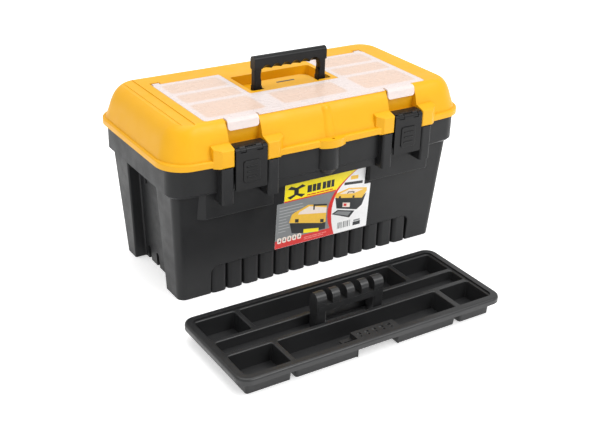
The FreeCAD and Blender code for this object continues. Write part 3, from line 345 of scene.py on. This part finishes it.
# Every other printed shape: its ink, its layer and its outline.
PRINT = [
    ("yellow", 1, [(13, 85), (113, 85)] + ARC[8:] + [(13, 117)]),
    ("red", 2, [(13, 83.5), (112, 83.5), (113.5, 85.6), (13, 85.6)]),
    ("grey", 1, [(0, 13), (106.5, 13)] + ARC[2:8] + [(112, 83.5), (0, 83.5)]),
    ("red", 2, [(0, 0), (115, 0), (106.5, 14), (0, 14.5)]),
    ("red", 3, ARC + ARC_INNER[::-1]),
    ("dark", 3, [(26, 43), (94, 28), (97, 28), (97, 15), (51, 18), (31, 23)]),
    ("amber", 4, [(24.5, 44), (29, 58), (34, 61), (60, 69.5), (97, 62), (97, 28.5), (90, 28)]),
    ("pink", 5, [(41, 56), (44, 60), (62, 66.5), (97, 56), (97, 46)]),
    ("dark", 6, [(70, 58), (73, 57.5), (73, 64.5), (97, 59.5), (97, 62.6), (70, 68)]),
    ("dark", 5, [(36, 42), (43, 40.5), (43, 47), (36, 48.5)]),
    ("dark", 5, [(86, 30), (93, 28.5), (93, 35), (86, 36.5)]),
    ("yellow", 5, [(54, 17.5), (84, 13.5), (84, 20), (54, 25)]),
    ("dark", 4, [(113, 70), (117, 49), (159, 37.5), (169, 44.5), (176, 66), (168, 60)]),
    ("amber", 5, [(111.5, 72), (114.5, 78), (139, 83), (176, 76), (176.5, 70), (168, 58), (116, 69)]),
    ("pink", 6, [(120, 75.5), (140, 80.5), (170, 74.5), (150, 70.5)]),
    ("dark", 7, [(136, 73), (138, 76.5), (151, 74), (151, 71), (148.5, 71.5), (148, 73), (139, 74.5),
                 (138, 72.5)]),
    ("dark", 7, [(120, 68), (124, 67.2), (124, 71), (120, 71.6)]),
    ("dark", 7, [(148, 62.4), (152, 61.6), (152, 66), (148, 66.8)]),
    ("pink", 6, [(129, 49), (144, 45.5), (144, 54), (129, 57.5)]),
    ("red", 7, [(131, 50.5), (137, 49.2), (137, 54), (131, 55.4)]),
    ("dark", 3, [(108, 40), (120, 45.5), (155, 36), (145, 25)]),
    ("grey", 4, [(113, 39.6), (121, 43), (148, 35.6), (142, 29)]),
    ("dark", 3, [(129, 90), (166, 86.5), (166, 91.5), (129, 95)]),
    ("amber", 4, [(141, 98), (156, 97), (156, 104), (141, 105)]),
    ("dark", 3, [(154, 7), (169, 7), (169, 14), (154, 14)]),
    ("grey", 3, [(155, 15), (168, 15), (168, 18), (155, 18)]),
]


def wrench(x, y, length, width):
    """A plain open-jawed spanner lying along the label, as corner points."""
    head = width * 1.9
    end = x + length
    left_jaw = [(x, y), (x + head * 0.7, y + head * 0.18), (x + head * 0.7, y + head * 0.62),
                (x, y + head * 0.8)]
    top_edge = [(x + head * 0.35, y + head * 1.05), (x + head, y + head * 0.78),
                (end - head, y + head * 0.78), (end - head * 0.35, y + head * 1.05)]
    right_jaw = [(end, y + head * 0.8), (end - head * 0.7, y + head * 0.62),
                 (end - head * 0.7, y + head * 0.18), (end, y)]
    foot_edge = [(end - head * 0.35, y - head * 0.25), (end - head, y + head * 0.1),
                 (x + head, y + head * 0.1), (x + head * 0.35, y - head * 0.25)]
    return left_jaw + top_edge + right_jaw + foot_edge


def bars(x0, x1, y0, y1, widths):
    """A row of plain upright bars between two ends, the widths and gaps in turn."""
    shapes = []
    total = sum(widths)
    x = x0
    for index, width in enumerate(widths):
        wide = width * (x1 - x0) / total
        if index % 2 == 0:
            shapes.append([(x, y0), (x + wide, y0), (x + wide, y1), (x, y1)])
        x += wide
    return shapes


# Rows of plain bars on the label: the ink, the two ends, the foot and head, and the widths and gaps in turn.
TITLE_ROWS = (
    ("dark", 56, 108, 93, 106, (9, 1.6, 7, 1.6, 8, 4, 7, 1.6, 8, 1.6, 6)),
    ("red", 56, 106, 87.5, 89.5, (6, 1, 9, 1, 5, 1, 8, 1, 7, 1, 6)),
)
SMALL_ROWS = (
    ("rose", 56, 100, 7.8, 9.2, (7, 1, 5, 1, 9, 1, 6, 1, 8)),
    ("rose", 56, 94, 4.6, 6, (5, 1, 8, 1, 6, 1, 9)),
    ("grey", 122, 148, 8, 20, (1, 1, 2, 1, 1, 1, 1, 2, 2, 1, 1, 1, 1, 1, 2, 2, 1)),
)
STRIPE_COUNT = 9
STRIPE_LEFT = 5
STRIPE_HEIGHT = 1.3
STRIPE_TOP = 74.5
STRIPE_PITCH = 5.6
LONG_STRIPES_ABOVE = 62
BADGE_COUNT = 5
BADGE_LEFT = 4
BADGE_PITCH = 9.6


def stripe(row):
    """One pale line of the block of lines at the left, shorter or longer by turns."""
    length = 22 + 4 * ((row * 5) % 4)
    y = STRIPE_TOP - STRIPE_PITCH * row
    if y > LONG_STRIPES_ABOVE:
        length += 48
    end = STRIPE_LEFT + length * 0.62
    return [(STRIPE_LEFT, y), (end, y), (end, y + STRIPE_HEIGHT), (STRIPE_LEFT, y + STRIPE_HEIGHT)]


def bar_rows(rows):
    """The bars of several rows, each with its row's ink."""
    return [(ink, 3, shape) for ink, *row in rows for shape in bars(*row)]


def badge(x):
    """A pale rounded badge at a place along the label's foot, with a dark sign on it."""
    plate = [(x, 10), (x + 3, 8.5), (x + 7.4, 9.2), (x + 8, 17.5), (x + 4, 19.5), (x, 18.5)]
    sign = [(x + 2, 12), (x + 6, 12), (x + 6, 13.5), (x + 4.6, 13.5), (x + 4.6, 17), (x + 3.2, 17),
            (x + 3.2, 13.5), (x + 2, 13.5)]
    return [("pink", 4, plate), ("dark", 5, sign)]


def label_shapes():
    """Every inked outline of the label: the fixed ones and the rows of bars, stripes and badges."""
    shapes = list(PRINT)
    shapes.append(("dark", 3, wrench(18, 92, 34, 9.5)))
    shapes += bar_rows(TITLE_ROWS)
    shapes += [("pale", 2, stripe(row)) for row in range(STRIPE_COUNT)]
    for index in range(BADGE_COUNT):
        shapes += badge(BADGE_LEFT + BADGE_PITCH * index)
    return shapes + bar_rows(SMALL_ROWS)


def label_frame():
    """The label's printed face: its lower left corner and its directions across, up and out."""
    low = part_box("front_label")[0]
    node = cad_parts["front_label"]
    face = max(node.data.polygons, key=lambda polygon: -polygon.normal.y * polygon.area)
    out = (node.matrix_world.to_3x3() @ face.normal).normalized()
    across = Vector((1, 0, 0))
    up = out.cross(across).normalized()
    on_face = node.matrix_world @ node.data.vertices[face.vertices[0]].co
    corner = Vector((low[0], 0, low[2] + 0.3 * MM))
    corner.y = on_face.y - (corner.z - on_face.z) * out.z / out.y
    return corner, across, up, out


def flat_print(name, shapes, corner, across, up, out, inks):
    """One printed sheet: thin slabs of ink, one per outline, on a face."""
    mesh = bpy.data.meshes.new(name)
    build = bmesh.new()
    keys = list(dict.fromkeys(key for key, _, _ in shapes))
    for key, layer, outline in shapes:
        low = corner + out * (INK_START * MM)
        high = corner + out * (layer * INK_LAYER * MM)
        rings = []
        for base in (low, high):
            rings.append([build.verts.new(base + across * (x * MM) + up * (y * MM)) for x, y in outline])
        top = build.faces.new(rings[1])
        top.material_index = keys.index(key)
        count = len(outline)
        for index in range(count):
            after = (index + 1) % count
            side = build.faces.new((rings[0][index], rings[0][after], rings[1][after], rings[1][index]))
            side.material_index = keys.index(key)
    bmesh.ops.recalc_face_normals(build, faces=build.faces)
    build.to_mesh(mesh)
    build.free()
    for key in keys:
        mesh.materials.append(inks[key])
    piece = bpy.data.objects.new(name, mesh)
    bpy.context.scene.collection.objects.link(piece)
    return piece


def make_label(materials):
    """The label's whole print, as one piece on the tub's front."""
    piece = flat_print("label_print", label_shapes(), *label_frame(), materials)
    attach(piece, "tub")


MARK_LENGTH = 34
MARK_WIDTH = 4.4
MARK_CORNER = 0.8
MARK_INSET = 52
MARK_REARWARD = 9
PLATFORM_DEPTH = 2


def make_platform_mark(materials):
    """A short plain dark bar with cut corners, printed on the platform under the handle."""
    lid_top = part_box("lid_shell")[1][2]
    low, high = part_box("carry_handle")
    corner = Vector((low[0] + MARK_INSET * MM, (low[1] + high[1]) / 2 + MARK_REARWARD * MM,
                     lid_top - PLATFORM_DEPTH * MM))
    far_x, far_y = MARK_LENGTH - MARK_CORNER, MARK_WIDTH - MARK_CORNER
    outline = [(0, MARK_CORNER), (MARK_CORNER, 0), (far_x, 0), (MARK_LENGTH, MARK_CORNER),
               (MARK_LENGTH, far_y), (far_x, MARK_WIDTH), (MARK_CORNER, MARK_WIDTH), (0, far_y)]
    piece = flat_print("platform_mark", [("dark", 4, outline)], corner, Vector((1, 0, 0)), Vector((0, 1, 0)),
                       Vector((0, 0, 1)), materials)
    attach(piece, "lid")


make_camera()
make_stage()
MATERIALS = make_materials()
dress_nodes(MATERIALS)
make_label(MATERIALS)
make_platform_mark(MATERIALS)
